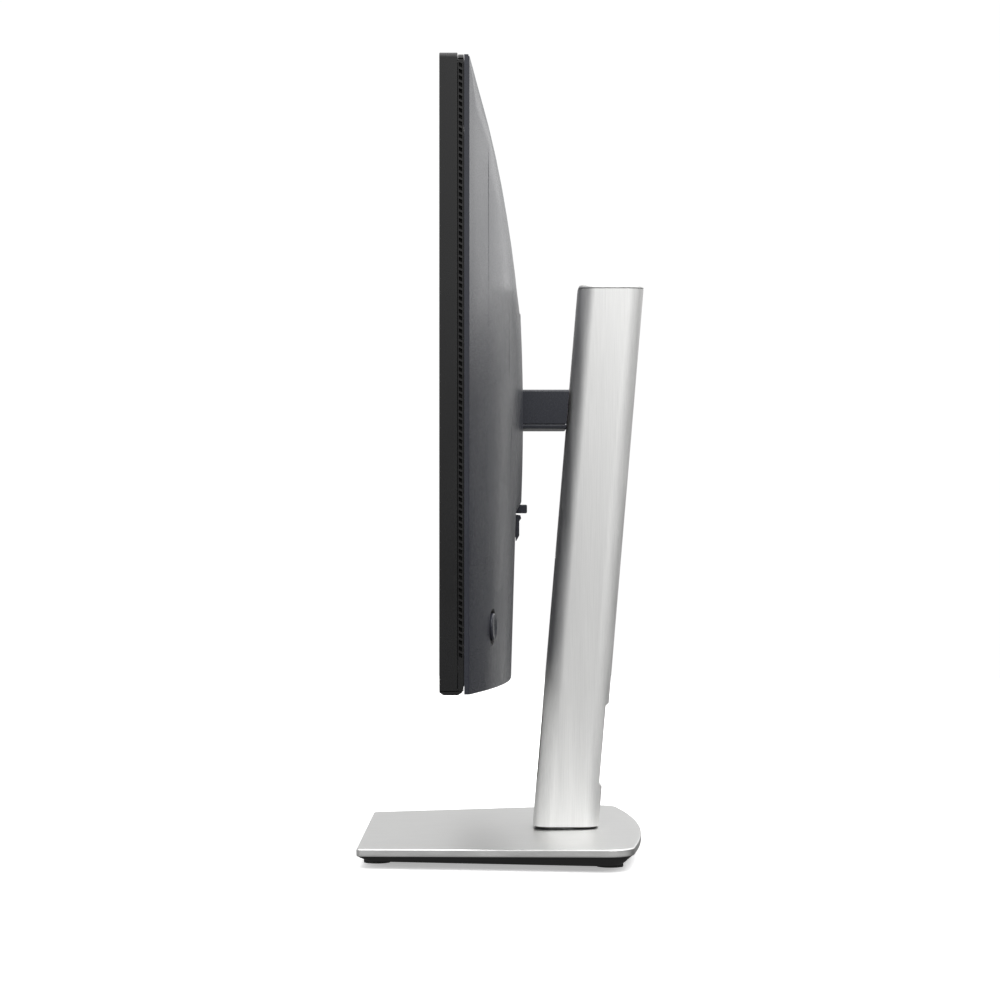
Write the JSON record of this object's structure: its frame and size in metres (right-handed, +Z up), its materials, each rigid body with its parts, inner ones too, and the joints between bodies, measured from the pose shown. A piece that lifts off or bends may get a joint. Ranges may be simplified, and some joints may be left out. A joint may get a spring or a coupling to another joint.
{
  "type": "computer monitor",
  "caption": "Widescreen computer monitor with a slotted edge band and a curved back, on a brushed metal stand that lifts, tilts and swivels.",
  "frame": {"origin": "middle of the whole monitor's footprint, on the desk", "axes": "+Z up, the screen faces -Y, +X to the right of someone who faces the screen"},
  "size_m": [0.611, 0.186, 0.4762],
  "materials": {
    "brushed_aluminium": "brushed, satin anodised",
    "dark_shell": "fine textured, slightly metallic dark grey",
    "black_frame": "satin",
    "black_plastic": "matt, moulded",
    "steel": "zinc-plated sheet",
    "spring_steel": "blued spring steel",
    "rubber": "matt",
    "screen": "anti-glare screen, off",
    "diffuser_white": "white moulded",
    "bearing_white": "acetal",
    "circuit_board": "solder mask"
  },
  "bodies": {
    "base": {"base_plate": "brushed_aluminium", "base_tray": "black_plastic", "base_weight": "steel", "rubber_foot_1": "rubber", "rubber_foot_2": "rubber", "rubber_foot_3": "rubber", "rubber_foot_4": "rubber", "swivel_post": "steel", "swivel_nut": "steel"},
    "thumbscrew": {"thumbscrew": "steel"},
    "screw_ring": {"screw_ring": "steel"},
    "riser": {"riser_shell": "brushed_aluminium", "cable_guide": "black_plastic", "riser_cap": "brushed_aluminium", "riser_gasket": "black_plastic", "riser_foot": "steel", "swivel_washer": "bearing_white", "column": "steel", "rail_left": "steel", "rail_right": "steel", "spring_tape": "spring_steel"},
    "arm": {"carriage": "steel", "glide_pad_left": "bearing_white", "glide_pad_right": "bearing_white", "drum_axle": "steel", "arm_bracket": "steel", "arm_cover_upper": "dark_shell", "arm_cover_lower": "dark_shell"},
    "spring": {"spring_drum": "bearing_white", "spring_coil": "spring_steel"},
    "head": {"mount_cover": "dark_shell", "mount_plate": "steel", "pivot_disc": "steel", "pivot_ring": "bearing_white", "tilt_bracket": "steel", "tilt_pin": "steel", "friction_washer_left": "bearing_white", "friction_washer_right": "bearing_white", "front_frame": "black_frame", "chin_strip": "black_frame", "lcd_panel": "screen", "backlight_unit": "diffuser_white", "panel_tray": "steel", "vent_band": "black_frame", "rear_cover": "dark_shell", "release_escutcheon": "dark_shell", "joystick_dish": "black_plastic", "io_bracket": "steel", "ac_inlet": "black_plastic", "video_ports": "steel", "usb_ports": "steel", "vesa_bracket": "steel", "main_board": "circuit_board", "power_board": "circuit_board"},
    "release": {"release_button": "dark_shell"},
    "latch": {"latch_plate": "steel"},
    "joystick_outer": {"joystick_ring": "bearing_white"},
    "joystick_inner": {"joystick_cross": "bearing_white"},
    "joystick": {"joystick_cap": "dark_shell"},
    "power": {"power_button": "black_frame"}
  },
  "joints": [
    {"name": "riser_swivel", "type": "hinge", "parent": "base", "child": "riser", "pos_m": [0, 0.0415, 0.0145], "axis": [0, 0, 1], "range_deg": [-45, 45]},
    {"name": "arm_lift", "type": "slide", "parent": "riser", "child": "arm", "axis": [0, 0.0837, 0.9965], "range_m": [-0.0905, 0.0595]},
    {"name": "spring_roll", "type": "hinge", "parent": "arm", "child": "spring", "pos_m": [0, 0.06265, 0.2664], "axis": [1, 0, 0], "range_deg": [-306, 465]},
    {"name": "head_tilt", "type": "hinge", "parent": "arm", "child": "head", "pos_m": [0, 0.0044, 0.2934], "axis": [-1, 0, 0], "range_deg": [-5, 21]},
    {"name": "release_press", "type": "slide", "parent": "head", "child": "release", "axis": [0, -1, 0], "range_m": [0, 0.0025], "stiffness_N_per_m": 500, "springref_m": -0.001},
    {"name": "latch_drop", "type": "slide", "parent": "head", "child": "latch", "axis": [0, 0, -1], "range_m": [0, 0.002]},
    {"name": "joystick_up_down", "type": "hinge", "parent": "head", "child": "joystick_outer", "pos_m": [0.2399, -0.01303, 0.1553], "axis": [0.9859, -0.1672, 0], "range_deg": [-4, 4], "stiffness_Nm_per_rad": 0.03},
    {"name": "joystick_side", "type": "hinge", "parent": "joystick_outer", "child": "joystick_inner", "pos_m": [0.2399, -0.01303, 0.1553], "axis": [0, 0, 1], "range_deg": [-4, 4], "stiffness_Nm_per_rad": 0.03},
    {"name": "joystick_press", "type": "slide", "parent": "joystick_inner", "child": "joystick", "axis": [-0.1672, -0.9859, 0], "range_m": [0, 0.0006], "stiffness_N_per_m": 900, "springref_m": -0.0002},
    {"name": "power_press", "type": "slide", "parent": "head", "child": "power", "axis": [0, 0, 1], "range_m": [0, 0.0008], "stiffness_N_per_m": 700, "springref_m": -0.0004},
    {"name": "thumbscrew_turn", "type": "hinge", "parent": "base", "child": "thumbscrew", "pos_m": [0, 0.0415, 0.005], "axis": [0, 0, 1], "continuous": true},
    {"name": "ring_fold", "type": "hinge", "parent": "thumbscrew", "child": "screw_ring", "pos_m": [0, 0.0395, 0.0042], "axis": [1, 0, 0], "range_deg": [0, 90]}
  ],
  "couplings": [
    {"joint": "spring_roll", "follows": "arm_lift", "rad_per_m": -89.286},
    {"joint": "latch_drop", "follows": "release_press", "ratio": 0.8}
  ]
}
